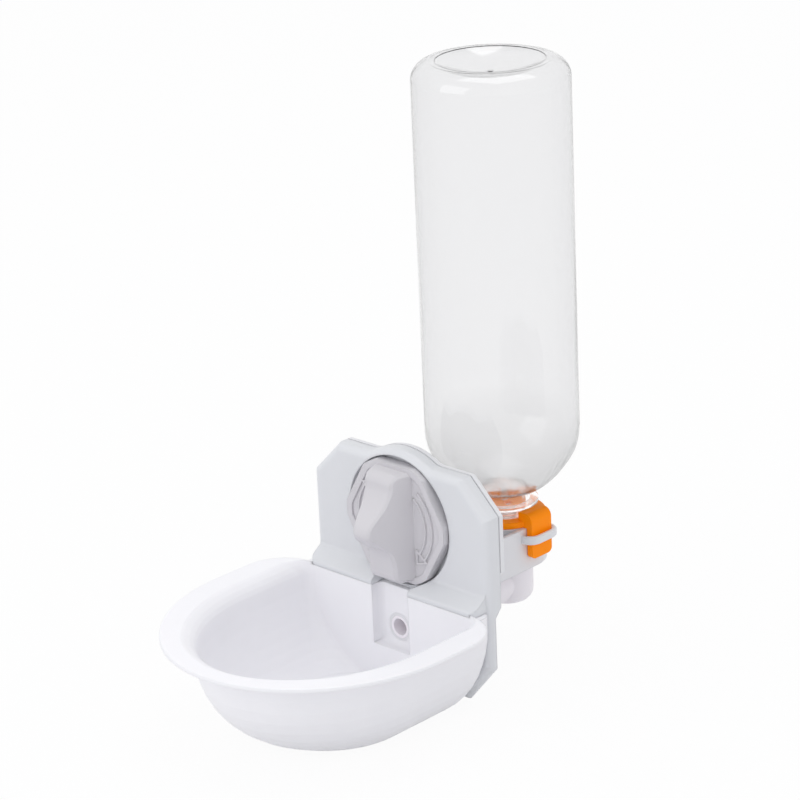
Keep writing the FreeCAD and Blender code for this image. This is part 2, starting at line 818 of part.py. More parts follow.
def far_edges(shape, y_end):
    """The edges lying in the plane where a bar along Y ends."""
    return edges_of(shape, lambda e: e.CenterOfMass.y > y_end - near and e.BoundBox.YLength < level_run)


def knob_washer():
    """The slip washer between knob and recess."""
    ring = cylinder_y(washer_radius, recess_face - seat_gap - washer_thickness, recess_face - seat_gap)
    return ring.cut(cylinder_y(screw_radius + seat_gap, knob_back, recess_face + over))


def screw_clip():
    """The open ring that keeps the screw in the front plate."""
    start = recess_back + seat_gap
    ring = cylinder_y(clip_radius, start, start + clip_thickness)
    end = start + clip_thickness
    ring = ring.cut(cylinder_y(screw_radius - clip_groove + seat_gap, start - over, end + over))
    opening = box(-clip_mouth / 2, clip_mouth / 2, start - over, end + over, -clip_radius - over, 0)
    return ring.cut(opening)


def rear_plate():
    """The rear clamping plate, with a tongue that carries the duct."""
    plate = plate_outline(rear_plate_foot_drop, rear_plate_foot_chamfer, rear_plate_foot_chamfer,
                          rear_plate_gap, rear_plate_back)
    half = tongue_half_width
    cut = tongue_foot_chamfer
    right = [(half, over - rear_plate_foot_drop), (half, cut - tongue_foot_drop), (half - cut, -tongue_foot_drop)]
    left = [(-x, z) for x, z in reversed(right)]
    plate = plate.fuse(prism_y(right + left, rear_plate_gap, rear_plate_back)).removeSplitter()
    return plate.makeFillet(rear_edge_round, face_rim(plate, rear_plate_back))


def stiffening_ribs():
    """Two upright ribs behind the rear plate, beside the nut."""
    ribs = None
    for side in (-1, 1):
        x = side * (cup_radius - cup_wall / 2)
        foot = -cup_rim_drop - rib_foot_lap
        profile = [(rear_plate_back - lap, rib_top), (rear_plate_back + rib_knee_depth, rib_knee),
                   (rear_plate_back + rib_foot_depth, foot), (rear_plate_back - lap, foot)]
        rib = prism_x(profile, x - cup_wall / 2, x + cup_wall / 2)
        ribs = rib if ribs is None else ribs.fuse(rib)
    return ribs


def collar():
    """The U-shaped holder whose round end takes the bottle's cap."""
    top = -cup_rim_drop
    foot = top - cup_height
    start = rear_plate_back - lap
    outer = cylinder_z(cup_radius, foot, top, bottle_offset)
    outer = outer.fuse(box(-cup_radius, cup_radius, start, bottle_offset, foot, top))
    outer = outer.removeSplitter()
    cup = cylinder_z(cup_radius - cup_wall, cup_floor, top + over, bottle_offset)
    trough = box(cup_wall - cup_radius, cup_radius - cup_wall, rear_plate_back + cup_wall, bottle_offset,
                 cup_floor, top + over)
    trough = trough.cut(cylinder_z(cup_radius, foot - over, top + 2 * over, bottle_offset))
    return outer.cut(cup).cut(trough)


def cap_loop():
    """The strap on the cup's side that holds the cap's tab."""
    high = -loop_drop
    low = high - loop_height
    outer = box(0, loop_reach, bottle_offset - loop_half_length, bottle_offset + loop_half_length, low, high)
    inner = box(0, loop_reach - loop_thickness, bottle_offset - loop_half_length + loop_thickness,
                bottle_offset + loop_half_length - loop_thickness, low - over, high + over)
    corners = edges_of(outer, lambda e: e.BoundBox.ZLength > lap and e.CenterOfMass.x > cup_radius)
    outer = outer.makeFillet(loop_corner_round, corners)
    corners = edges_of(inner, lambda e: e.BoundBox.ZLength > lap and e.CenterOfMass.x > cup_radius)
    inner = inner.makeFillet(loop_corner_round - loop_thickness, corners)
    strap = outer.cut(inner)
    rims = edges_of(strap, lambda e: e.BoundBox.ZLength < lap and e.CenterOfMass.x > lap)
    strap = strap.makeChamfer(loop_edge_slant, rims)
    return strap.cut(cylinder_z(cup_radius - cup_wall / 2, low - over, high + over, bottle_offset))


def rear_bracket():
    """The rear moulding: clamping plate, nut boss, cap holder with loop, and socket for the elbow."""
    bracket = rear_plate().fuse(collar()).fuse(cap_loop()).fuse(stiffening_ribs())
    boss = cylinder_y(nut_boss_radius, rear_plate_back - lap, cover_seat)
    bracket = bracket.fuse(boss)
    foot = -cup_rim_drop - cup_height
    socket_radius = elbow_radius + seat_gap
    socket = cylinder_z(socket_radius + cup_wall, foot, elbow_neck_top, bottle_offset)
    bracket = bracket.fuse(socket)
    bracket = bracket.cut(cylinder_z(socket_radius, foot - over, elbow_neck_top + over, bottle_offset))
    bracket = bracket.cut(cylinder_y(screw_radius + slide_gap, rear_plate_gap - over, cover_seat + over))
    bracket = bracket.cut(hexagon_y(nut_flats + 2 * seat_gap, nut_seat, cover_seat + over))
    return bracket.cut(spigot_slot()).removeSplitter()


def spigot_slot():
    """The slot in the tongue, open at its foot, so that the elbow goes in from below."""
    half = spigot_radius + seat_gap
    y_to = rear_plate_back + over
    eye = cylinder_y(half, rear_plate_gap - over, y_to, 0.0, -duct_axis_drop)
    return eye.fuse(box(-half, half, rear_plate_gap - over, y_to, -tongue_foot_drop - over, -duct_axis_drop))


def clamp_nut():
    """The captive nut in the rear bracket."""
    nut = hexagon_y(nut_flats, nut_seat, nut_seat + nut_height)
    rounding = cylinder_y(nut_corner_reach, nut_seat, nut_seat + nut_height)
    return nut.common(rounding).cut(cylinder_y(screw_radius + thread_gap, nut_seat - over, cover_seat + over))


def nut_cover():
    """The cap behind the nut that covers the screw's end."""
    end = screw_reach + cover_overreach
    tube = cylinder_y(cover_radius, cover_seat, end)
    tube = tube.makeChamfer(cover_end_slant, far_edges(tube, end))
    flange = cylinder_y(cover_flange_radius, cover_seat, cover_seat + cover_flange_thickness)
    bore = cylinder_y(cover_radius - cover_wall, cover_seat - over, end - cover_wall)
    return tube.fuse(flange).cut(bore)


def elbow_profile():
    """Outer outline of the elbow's upright cup, as radius and height pairs."""
    foot = -elbow_drop
    points = [(0, foot)]
    steps = 5
    for step in range(steps + 1):
        angle = math.pi / 2 * step / steps
        points.append((elbow_radius - elbow_foot_round * (1 - math.sin(angle)),
                       foot + elbow_foot_round * (1 - math.cos(angle))))
    return points


def feed_elbow():
    """The elbow under the bottle: an upright cup with a duct forward to the bowl."""
    top = elbow_neck_top - seat_gap
    cup = revolve_z(elbow_profile() + [(elbow_radius, top), (0, top)], bottle_offset)
    duct = cylinder_y(duct_radius, duct_start, bottle_offset, 0.0, -duct_axis_drop)
    spigot = cylinder_y(spigot_radius, channel_floor, bottle_offset, 0.0, -duct_axis_drop)
    elbow = cup.fuse(duct).fuse(spigot)
    neck_bore_radius = elbow_radius - elbow_neck_wall
    floor = -elbow_drop + elbow_wall
    cavity = cylinder_z(elbow_radius - elbow_wall, floor, lifter_seat - elbow_wall, bottle_offset)
    foot = edges_of(cavity, lambda e: e.CenterOfMass.z < floor + near and e.BoundBox.ZLength < level_run)
    cavity = cavity.makeChamfer(elbow_foot_round - elbow_wall, foot)
    throat = neck_bore_radius - lifter_step
    cavity = cavity.fuse(cylinder_z(throat, lifter_seat - elbow_wall - over, lifter_seat + over, bottle_offset))
    cavity = cavity.fuse(cylinder_z(neck_bore_radius, lifter_seat, top + over, bottle_offset))
    bore = cylinder_y(duct_radius - duct_wall, duct_start + duct_wall, bottle_offset, 0.0, -duct_axis_drop)
    narrow = cylinder_y(spigot_radius - spigot_wall, channel_floor - over, bottle_offset, 0.0, -duct_axis_drop)
    elbow = elbow.cut(cavity).cut(bore).cut(narrow)
    return elbow.cut(seal_ring(seat_gap))


def seal_ring(room):
    """The elbow seal's ring, or its groove when some room is added round it."""
    outer = elbow_radius + seat_gap - room
    inner = elbow_radius - elbow_seal_depth - room
    level = elbow_neck_top - elbow_seal_drop
    top = level + elbow_seal_height
    ring = cylinder_z(outer + over * (room > 0), level - room, top + room, bottle_offset)
    return ring.cut(cylinder_z(inner, level - over, top + over, bottle_offset))


def elbow_seal():
    """The ring in the elbow's groove, which seals it in its socket."""
    return seal_ring(0.0)


def outlet_seal():
    """The sleeve in the bowl's back wall, round the spigot."""
    outer = spigot_radius + outlet_seal_thickness
    sleeve = cylinder_y(outer, channel_floor, bowl_wall_rear, 0.0, -duct_axis_drop)
    return sleeve.cut(cylinder_y(spigot_radius + seat_gap, channel_floor - over, over, 0.0, -duct_axis_drop))


def valve_lifter():
    """The ring with three arms whose pin pushes the cap's valve open."""
    outer = elbow_radius - elbow_neck_wall
    ring_top = lifter_seat + lifter_ring_height
    ring = cylinder_z(outer, lifter_seat, ring_top, bottle_offset)
    ring = ring.cut(cylinder_z(outer - lifter_ring_width, lifter_seat - over, ring_top + over, bottle_offset))
    pin = cylinder_z(lifter_pin_radius, lifter_seat, stem_foot - seat_gap, bottle_offset)
    lifter = ring.fuse(pin)
    for turn in range(3):
        arm = box(0, outer - lifter_ring_width / 2, -lifter_arm_width / 2, lifter_arm_width / 2,
                  lifter_seat, lifter_seat + lifter_ring_height)
        arm.rotate(vec(0, 0, 0), vec(0, 0, 1), 90 + 120 * turn)
        arm.translate(vec(0, bottle_offset, 0))
        lifter = lifter.fuse(arm)
    return lifter.removeSplitter()


def shoulder_radius(height, wall):
    """Radius of the bottle's shoulder at a height below its start."""
    fall = (shoulder_start - height) / (shoulder_height - wall)
    return (bottle_radius - wall) * math.sqrt(max(1 - fall ** 2, 0))


def shoulder_end(wall, radius):
    """Height at which the shoulder meets the neck."""
    share = radius / (bottle_radius - wall)
    return shoulder_start - (shoulder_height - wall) * math.sqrt(1 - share ** 2)


def bottle_side(wall, neck):
    """The curve of shoulder, wall and base round, from neck to foot."""
    radius = bottle_radius - wall
    end = shoulder_end(wall, neck)
    middle = (end + shoulder_start) / 2
    steep = shoulder_start - (shoulder_start - end) * 0.86
    points = [vec(neck, 0, end), vec(shoulder_radius(steep, wall), 0, steep),
              vec(shoulder_radius(middle, wall), 0, middle), vec(radius, 0, shoulder_start)]
    curve = Part.BSplineCurve()
    curve.interpolate(Points=points, FinalTangent=vec(0, 0, 1), InitialTangent=vec(1, 0, 0.35))
    top = bottle_top - wall
    turn = bottle_base_round - wall
    tilt = turn * (1 - math.sqrt(0.5))
    return [
        curve.toShape(),
        Part.makeLine(points[-1], vec(radius, 0, top - turn)),
        Part.Arc(vec(radius, 0, top - turn), vec(radius - tilt, 0, top - tilt), vec(radius - turn, 0, top)).toShape(),
    ]


def bottle_base(wall):
    """The foot ring and the dish, part of a sphere, from the base round to the axis."""
    top = bottle_top - wall
    start = bottle_radius - bottle_base_round
    ring = bottle_foot_radius
    dish = top - bottle_dish_depth
    sphere = (ring ** 2 + bottle_dish_depth ** 2) / (2 * bottle_dish_depth)
    between = dish + sphere - math.sqrt(sphere ** 2 - (ring / 2) ** 2)
    return [
        Part.makeLine(vec(start, 0, top), vec(ring, 0, top)),
        Part.Arc(vec(ring, 0, top), vec(ring / 2, 0, between), vec(0, 0, dish)).toShape(),
    ]


def turn_profile(edges):
    """A body turned about the bottle's axis from a closed run of edges."""
    wire = Part.Wire(Part.__sortEdges__(edges))
    turned = Part.Face(wire).revolve(vec(0, 0, 0), vec(0, 0, 1), 360)
    turned.translate(vec(0, bottle_offset, 0))
    return turned


def bottle():
    """The blown bottle, upside down: dished base above, round shoulder and screw neck below."""
    outer_neck = shoulder_end(0.0, neck_radius)
    outer = bottle_side(0.0, neck_radius) + bottle_base(0.0)
    outer.append(Part.makeLine(vec(0, 0, bottle_top - bottle_dish_depth), vec(0, 0, outer_neck)))
    outer.append(Part.makeLine(vec(0, 0, outer_neck), vec(neck_radius, 0, outer_neck)))
    inner_neck = shoulder_end(bottle_wall, neck_bore)
    inner = bottle_side(bottle_wall, neck_bore) + bottle_base(bottle_wall)
    inner.append(Part.makeLine(vec(0, 0, bottle_top - bottle_dish_depth - bottle_wall), vec(0, 0, inner_neck)))
    inner.append(Part.makeLine(vec(0, 0, inner_neck), vec(neck_bore, 0, inner_neck)))
    body = turn_profile(outer)
    neck = cylinder_z(neck_radius, neck_mouth, outer_neck + lap, bottle_offset)
    body = body.fuse(neck)
    body = body.fuse(cylinder_z(support_ring_radius, support_ring_base, support_ring_top, bottle_offset))
    body = body.fuse(cylinder_z(bead_radius, bead_base, bead_top, bottle_offset))
    for level in thread_levels():
        body = body.fuse(thread_ridge(level))
    dish = bottle_top - bottle_dish_depth
    body = body.fuse(cylinder_z(gate_mark_radius, dish - bottle_wall / 2, dish + gate_mark_height, bottle_offset))
    body = body.cut(turn_profile(inner))
    return body.cut(cylinder_z(neck_bore, neck_mouth - over, inner_neck + bottle_wall / 2, bottle_offset))


def thread_levels():
    """Heights at which the neck's thread ridges begin, as many as fit below the bead."""
    room = bead_base - neck_mouth - thread_start - thread_crest - thread_flank
    return [neck_mouth + thread_start + turn * thread_pitch for turn in range(int(room / thread_pitch) + 1)]


def thread_ridge(level):
    """One ring of the neck's thread, wider at its root than at its crest."""
    root = neck_radius - lap / 2
    profile = [(root, level - thread_flank), (thread_radius, level),
               (thread_radius, level + thread_crest), (root, level + thread_crest + thread_flank)]
    return revolve_z(profile, bottle_offset)


def cap_lug():
    """The cap's side lug: a rounded block on the flange and a tab hanging outside the cup."""
    inner_x = cup_radius + tab_gap
    outer_x = inner_x + tab_thickness
    top = cap_top + lug_rise
    foot = cap_seat - tab_length
    y_from = bottle_offset - lug_half_width
    y_to = bottle_offset + lug_half_width
    block = box(lug_start_radius, outer_x, y_from, y_to, cap_seat, top)
    crown = edges_of(block, lambda e: e.CenterOfMass.x > outer_x - near and e.CenterOfMass.z > top - near)
    block = block.makeFillet(lug_rise, crown)
    tab = box(inner_x, outer_x, y_from, y_to, foot, cap_seat + lap)
    ends = edges_of(tab, lambda e: e.BoundBox.XLength > lap and e.CenterOfMass.z < foot + near)
    tab = tab.makeFillet(tab_foot_round, ends)
    return block.fuse(tab).removeSplitter()


def valve_cap():
    """The orange screw cap with flange, lug, valve seat and nozzle."""
    cap = cylinder_z(cup_radius, cap_seat, cap_top, bottle_offset)
    rims = edges_of(cap, lambda e: e.BoundBox.ZLength < level_run)
    cap = cap.makeChamfer(cap_rim_slant, rims)
    cap = cap.fuse(cylinder_z(cap_skirt_radius, cap_end_base, cap_seat + over, bottle_offset))
    cap = cap.fuse(cap_lug())
    cap = cap.cut(cylinder_z(cap_thread_bore, cap_end_top, cap_top + lug_rise + over, bottle_offset))
    cap = cap.fuse(cylinder_z(cap_nozzle_radius, nozzle_foot, cap_end_top, bottle_offset))
    cap = cap.cut(cylinder_z(cap_nozzle_bore, nozzle_foot - over, cap_end_base, bottle_offset))
    return cap.cut(cylinder_z(cap_seat_bore, nozzle_foot - over, cap_end_top + over, bottle_offset))


def cap_gasket():
    """The flat ring between the bottle's lip and the cap."""
    ring = cylinder_z(cap_thread_bore - seat_gap, gasket_base, neck_mouth, bottle_offset)
    return ring.cut(cylinder_z(cage_radius + seat_gap, gasket_base - over, neck_mouth + over, bottle_offset))


def spring_cage():
    """The cage over the valve: base ring, three legs and a guide ring for the stem."""
    top = cap_end_top + cage_height
    shell = cylinder_z(cage_radius, cap_end_top, top, bottle_offset)
    shell = shell.cut(cylinder_z(cage_radius - cage_wall, cap_end_top - over, top + over, bottle_offset))
    cage = shell.common(box(-cage_radius, cage_radius, bottle_offset - cage_radius, bottle_offset + cage_radius,
                            cap_end_top, cap_end_top + cage_base_height))
    cage = cage.fuse(cylinder_z(cage_radius, top - cage_wall, top, bottle_offset))
    for turn in range(3):
        leg = box(0, cage_radius + over, -cage_leg_width / 2, cage_leg_width / 2, cap_end_top, top)
        leg.rotate(vec(0, 0, 0), vec(0, 0, 1), 30 + 120 * turn)
        leg.translate(vec(0, bottle_offset, 0))
        cage = cage.fuse(leg.common(shell))
    for turn in range(3):
        vent = box(cage_vent_start, cage_vent_end, -cage_vent_width / 2, cage_vent_width / 2,
                   top - cage_wall - over, top + over)
        vent.rotate(vec(0, 0, 0), vec(0, 0, 1), 90 + 120 * turn)
        vent.translate(vec(0, bottle_offset, 0))
        cage = cage.cut(vent)
    guide = plunger_stem_radius + slide_gap
    return cage.cut(cylinder_z(guide, top - cage_wall - over, top + over, bottle_offset))


def valve_plunger():
    """The valve's stem and head, shown pushed up by the lifter's pin."""
    stem = cylinder_z(plunger_stem_radius, stem_foot, head_top + plunger_stem_above, bottle_offset)
    head = cylinder_z(plunger_head_radius, head_base, head_top, bottle_offset)
    hub = cylinder_z(plunger_hub_radius, head_top, head_top + plunger_hub_height, bottle_offset)
    foot = cylinder_z(plunger_foot_radius, seal_base - plunger_foot_height, seal_base, bottle_offset)
    return stem.fuse(head).fuse(hub).fuse(foot)


def valve_seal():
    """The rubber disc under the plunger's head."""
    disc = cylinder_z(seal_radius, seal_base, head_base, bottle_offset)
    return disc.cut(cylinder_z(plunger_stem_radius, seal_base - over, head_base + over, bottle_offset))


def valve_spring():
    """The coil spring between the plunger's head and the cage's crown."""
    low = head_top + spring_wire + seat_gap
    high = cap_end_top + cage_height - cage_wall - spring_wire - seat_gap
    helix = Part.makeHelix((high - low) / spring_turns, high - low, spring_radius)
    corners = []
    for side in range(spring_sides):
        angle = 2 * math.pi * side / spring_sides
        corners.append(vec(spring_radius + spring_wire * math.cos(angle), 0, spring_wire * math.sin(angle)))
    section = Part.makePolygon(corners + [corners[0]])
    coil = Part.Wire(helix).makePipeShell([section], True, True)
    coil.translate(vec(0, bottle_offset, low))
    return coil


def bowl_screw(side):
    """A screw from behind the front plate into the bowl's boss."""
    seat = plate_front + plate_wall + seat_gap
    head = cylinder_y(bowl_screw_head_radius, seat, seat + bowl_screw_head_height,
                      side * bowl_screw_side, -bowl_screw_drop)
    head = head.makeChamfer(bowl_screw_head_slant, far_edges(head, seat + bowl_screw_head_height))
    shank = cylinder_y(bowl_screw_radius, seat - bowl_screw_length, seat,
                       side * bowl_screw_side, -bowl_screw_drop)
    return head.fuse(shank)


def build_pieces():
    """Every separate piece by its node name."""
    return {
        "front_plate": front_plate(),
        "drinking_bowl": drinking_bowl(),
        "bowl_screw_left": bowl_screw(-1),
        "bowl_screw_right": bowl_screw(1),
        "outlet_seal": outlet_seal(),
        "clamp_knob": clamp_knob(),
        "clamp_screw": clamp_screw(),
        "knob_washer": knob_washer(),
        "screw_clip": screw_clip(),
        "rear_bracket": rear_bracket(),
        "clamp_nut": clamp_nut(),
        "nut_cover": nut_cover(),
        "feed_elbow": feed_elbow(),
        "elbow_seal": elbow_seal(),
        "valve_lifter": valve_lifter(),
        "bottle": bottle(),
        "valve_cap": valve_cap(),
        "cap_gasket": cap_gasket(),
        "spring_cage": spring_cage(),
        "valve_plunger": valve_plunger(),
        "valve_seal": valve_seal(),
        "valve_spring": valve_spring(),
    }


def main():
    """Build every piece and write one STEP file for each."""
    os.makedirs("parts", exist_ok=True)
    for name, shape in build_pieces().items():
        if len(shape.Solids) == 1:
            shape = shape.Solids[0]
        bound = shape.BoundBox
        print(name, len(shape.Solids), shape.isValid(), round(shape.Volume),
              [round(v, 1) for v in (bound.XMin, bound.XMax, bound.YMin, bound.YMax, bound.ZMin, bound.ZMax)])
        shape.exportStep("parts/" + name + ".step")


main()
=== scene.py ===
import logging
import math
from dataclasses import dataclass, field
from enum import Enum

import bpy
from mathutils import Matrix, Vector

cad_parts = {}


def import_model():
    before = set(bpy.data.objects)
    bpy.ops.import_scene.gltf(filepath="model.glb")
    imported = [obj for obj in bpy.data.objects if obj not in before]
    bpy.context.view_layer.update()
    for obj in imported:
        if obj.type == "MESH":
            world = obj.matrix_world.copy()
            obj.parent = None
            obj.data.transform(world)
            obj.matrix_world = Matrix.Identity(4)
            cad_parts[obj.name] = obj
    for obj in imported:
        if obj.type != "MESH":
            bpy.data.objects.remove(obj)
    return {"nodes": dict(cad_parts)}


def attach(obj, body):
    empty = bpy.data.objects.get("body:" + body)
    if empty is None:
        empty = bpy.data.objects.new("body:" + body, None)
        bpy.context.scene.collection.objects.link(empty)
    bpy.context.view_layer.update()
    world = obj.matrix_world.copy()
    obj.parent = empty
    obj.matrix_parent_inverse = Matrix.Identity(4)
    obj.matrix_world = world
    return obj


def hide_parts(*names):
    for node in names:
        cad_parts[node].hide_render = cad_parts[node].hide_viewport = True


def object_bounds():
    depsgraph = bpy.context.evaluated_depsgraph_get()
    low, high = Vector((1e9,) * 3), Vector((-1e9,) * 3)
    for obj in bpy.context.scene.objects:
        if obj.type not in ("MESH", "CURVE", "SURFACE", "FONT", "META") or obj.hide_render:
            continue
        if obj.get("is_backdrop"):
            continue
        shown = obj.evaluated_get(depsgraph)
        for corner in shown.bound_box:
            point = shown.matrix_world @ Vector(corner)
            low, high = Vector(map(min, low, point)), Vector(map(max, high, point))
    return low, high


LOG = logging.getLogger("water_dispenser")
MM = 0.001
HEXAGON = 6
LAID_ALONG_Y = (-math.pi / 2, 0.0, 0.0)
PATTERN_MIDDLE = 0.5
BLACK = (0.0, 0.0, 0.0)
WHITE = (1.0, 1.0, 1.0, 1.0)
Colour = tuple[float, float, float]
Place = tuple[float, float, float]


class Amount:
    """A node's output value that takes part in Python arithmetic."""

    def __init__(self, wiring: "Wiring", socket: bpy.types.NodeSocket) -> None:
        """Wrap an output socket of a node tree."""
        self.wiring = wiring
        self.socket = socket

    def _math(self, operation: str, first: "Amount | float", second: "Amount | float") -> "Amount":
        """Add a Math node for one operation on two values."""
        node = self.wiring.node("ShaderNodeMath", {"operation": operation}, {0: first, 1: second})
        return Amount(self.wiring, node.outputs[0])

    def __add__(self, other: "Amount | float") -> "Amount":
        """Add a value."""
        return self._math("ADD", self, other)

    __radd__ = __add__

    def __sub__(self, other: "Amount | float") -> "Amount":
        """Take a value away."""
        return self._math("SUBTRACT", self, other)

    def __rsub__(self, other: float) -> "Amount":
        """Take this away from a number."""
        return self._math("SUBTRACT", other, self)

    def __mul__(self, other: "Amount | float") -> "Amount":
        """Multiply by a value."""
        return self._math("MULTIPLY", self, other)

    __rmul__ = __mul__

    def __truediv__(self, other: "Amount | float") -> "Amount":
        """Divide by a value."""
        return self._math("DIVIDE", self, other)

    def __pow__(self, other: "Amount | float") -> "Amount":
        """Raise to a power."""
        return self._math("POWER", self, other)

    def larger(self, other: "Amount | float") -> "Amount":
        """Give the larger of two values."""
        return self._math("MAXIMUM", self, other)

    def swing(self, reach: float) -> "Amount":
        """Give a pattern's distance from its middle, times a reach."""
        return (self - PATTERN_MIDDLE) * reach


class Wiring:
    """A node tree under construction.

    The Mix node has a set of sockets for each kind of value, so those for colours go by number.
    """

    mix_share = 0
    mix_colours = (6, 7)
    mixed_colour = 2

    def __init__(self, tree: bpy.types.NodeTree) -> None:
        """Start on a tree, whose nodes are cleared."""
        self.tree = tree
        tree.nodes.clear()

    def node(self, kind: str, settings: dict | None = None, inputs: dict | None = None) -> bpy.types.Node:
        """Add one node of any type.

        Args:
            kind: The node's type.
            settings: Its settings, which are set first.
            inputs: Values or links of its sockets, by name or number.

        Returns:
            The new node.
        """
        made = self.tree.nodes.new(kind)
        for name, value in (settings or {}).items():
            setattr(made, name, value)
        for key, value in (inputs or {}).items():
            socket = made.inputs[key]
            if isinstance(value, Amount):
                self.tree.links.new(value.socket, socket)
            elif isinstance(value, bpy.types.NodeSocket):
                self.tree.links.new(value, socket)
            else:
                socket.default_value = value
        return made

    def amount(self, kind: str, settings: dict | None = None, inputs: dict | None = None,
               output: str | int = 0) -> Amount:
        """Add one node and wrap the output of that name or number."""
        return Amount(self, self.node(kind, settings, inputs).outputs[output])

    def place(self) -> bpy.types.NodeSocket:
        """Give the object's own coordinates."""
        return self.node("ShaderNodeTexCoord").outputs["Object"]

    def along(self, axis: str) -> Amount:
        """Give the object's own X, Y or Z."""
        return self.amount("ShaderNodeSeparateXYZ", {}, {0: self.place()}, axis)

    def noise(self, size: float, detail: float, roughness: float) -> Amount:
        """Add a noise pattern by its largest grains' size and its finer layers' number and strength."""
        return self.amount("ShaderNodeTexNoise", {}, {
            "Vector": self.place(), "Scale": 1 / size, "Detail": detail, "Roughness": roughness}, "Fac")

    def stretched_noise(self, sizes: Place, detail: float) -> Amount:
        """Add a noise pattern whose grains are longer one way.

        Args:
            sizes: The grains' size along each axis.
            detail: How many finer layers it has.

        Returns:
            The pattern, from nought to one.
        """
        stretched = self.node("ShaderNodeMapping", {}, {
            "Vector": self.place(), "Scale": tuple(1 / size for size in sizes)}).outputs["Vector"]
        return self.amount("ShaderNodeTexNoise", {}, {
            "Vector": stretched, "Scale": 1.0, "Detail": detail}, "Fac")

    def zone(self, value: Amount, ends: tuple[float, float]) -> Amount:
        """Give a share that goes from nought to one between a value's two ends."""
        return self.amount("ShaderNodeMapRange", {}, {
            "Value": value, "From Min": ends[0], "From Max": ends[1]})

    def blend(self, share: Amount, first: "Colour | bpy.types.NodeSocket",
              second: "Colour | bpy.types.NodeSocket") -> bpy.types.NodeSocket:
        """Mix two colours, or the outputs that give them.

        Args:
            share: The second colour's share.
            first: The first colour.
            second: The second colour.

        Returns:
            The output that gives the mixed colour.
        """
        colours = ((*c, 1.0) if isinstance(c, tuple) else c for c in (first, second))
        inputs = {self.mix_share: share, **dict(zip(self.mix_colours, colours))}
        return self.node("ShaderNodeMix", {"data_type": "RGBA"}, inputs).outputs[self.mixed_colour]

    def bump(self, height: Amount, depth: float, strength: float,
             normal: bpy.types.NodeSocket | None = None) -> bpy.types.NodeSocket:
        """Turn a pattern into fine relief.

        Args:
            height: The pattern.
            depth: Its depth.
            strength: How strongly it shows.
            normal: The normal that it adds to, or none for the surface's own.

        Returns:
            The new normal.
        """
        inputs = {"Height": height, "Distance": depth, "Strength": strength}
        if normal is not None:
            inputs["Normal"] = normal
        return self.node("ShaderNodeBump", {}, inputs).outputs[0]


def shaded(colour: Colour, factor: float) -> Colour:
    """Make a colour lighter or darker by a factor, kept below one."""
    return tuple(min(channel * factor, 1.0) for channel in colour)


def new_material(name: str) -> tuple[bpy.types.Material, Wiring]:
    """Make an empty node material.

    Args:
        name: The material's name.

    Returns:
        The material and the wiring of its tree.
    """
    material = bpy.data.materials.new(name)
    material.use_nodes = True
    return material, Wiring(material.node_tree)


@dataclass(frozen=True)
class MouldedPlastic:
    """Injection-moulded plastic with faint clouding, flow lines and a fine mould texture.

    Its glow is painted light: an emission in the plastic's own tone that brightens it, standing for
    light that comes through its thin wall. It grows from nothing to its full strength between the
    glow zone's two places along Y, which by default lie behind the whole object.
    """

    name: str
    colour: Colour
    roughness: float = 0.34
    shine: float = 0.5
    bending: float = 1.47
    clouding: float = 0.02
    cloud_size: float = 22 * MM
    cloud_share: float = 0.7
    cloud_dulling: float = 0.10
    flow_sizes: Place = (9 * MM, 9 * MM, 60 * MM)
    flow_depth: float = 0.02 * MM
    flow_strength: float = 0.35
    grain_size: float = 0.55 * MM
    grain_depth: float = 0.006 * MM
    grain_strength: float = 0.5
    grain_dulling: float = 0.08
    scatter: float = 0.06
    scatter_reach: float = 1.2 * MM
    scatter_tint: Colour = (1.0, 0.95, 0.9)
    edge_round: float = 0.7 * MM
    edge_samples: int = 8
    # Painted light: the glow is an emission in the plastic's own tone that brightens it.
    glow: float = 0.0
    painted_glow_zone: tuple[float, float] = (0.5, 0.4)

    def make(self) -> bpy.types.Material:
        """Build the material.

        Returns:
            The material.
        """
        material, wiring = new_material(self.name)
        clouds = wiring.noise(self.cloud_size, detail=3.0, roughness=0.55)
        flow = wiring.stretched_noise(self.flow_sizes, detail=2.0)
        grain = wiring.noise(self.grain_size, detail=4.0, roughness=0.6)
        tone = wiring.blend(clouds * self.cloud_share + flow * (1 - self.cloud_share),
                            shaded(self.colour, 1 - self.clouding), shaded(self.colour, 1 + self.clouding))
        rounded = wiring.node("ShaderNodeBevel", {"samples": self.edge_samples}, {"Radius": self.edge_round})
        slow = wiring.bump(flow, self.flow_depth, self.flow_strength, rounded.outputs[0])
        fine = wiring.bump(grain, self.grain_depth, self.grain_strength, slow)
        painted_glow_share = wiring.zone(wiring.along("Y"), self.painted_glow_zone)
        shader = wiring.node("ShaderNodeBsdfPrincipled", {}, {
            "Base Color": tone,
            "Roughness": self.roughness + clouds.swing(self.cloud_dulling) + grain.swing(self.grain_dulling),
            "IOR": self.bending,
            "Specular IOR Level": self.shine,
            "Subsurface Weight": self.scatter,
            "Subsurface Radius": self.scatter_tint,
            "Subsurface Scale": self.scatter_reach,
            # Painted light: where the glow zone reaches, the plastic emits its own tone, as strong as the
            # glow.
            "Emission Color": wiring.blend(painted_glow_share, BLACK, tone),
            "Emission Strength": self.glow,
            "Normal": fine})
        wiring.node("ShaderNodeOutputMaterial", {}, {"Surface": shader.outputs[0]})
        return material


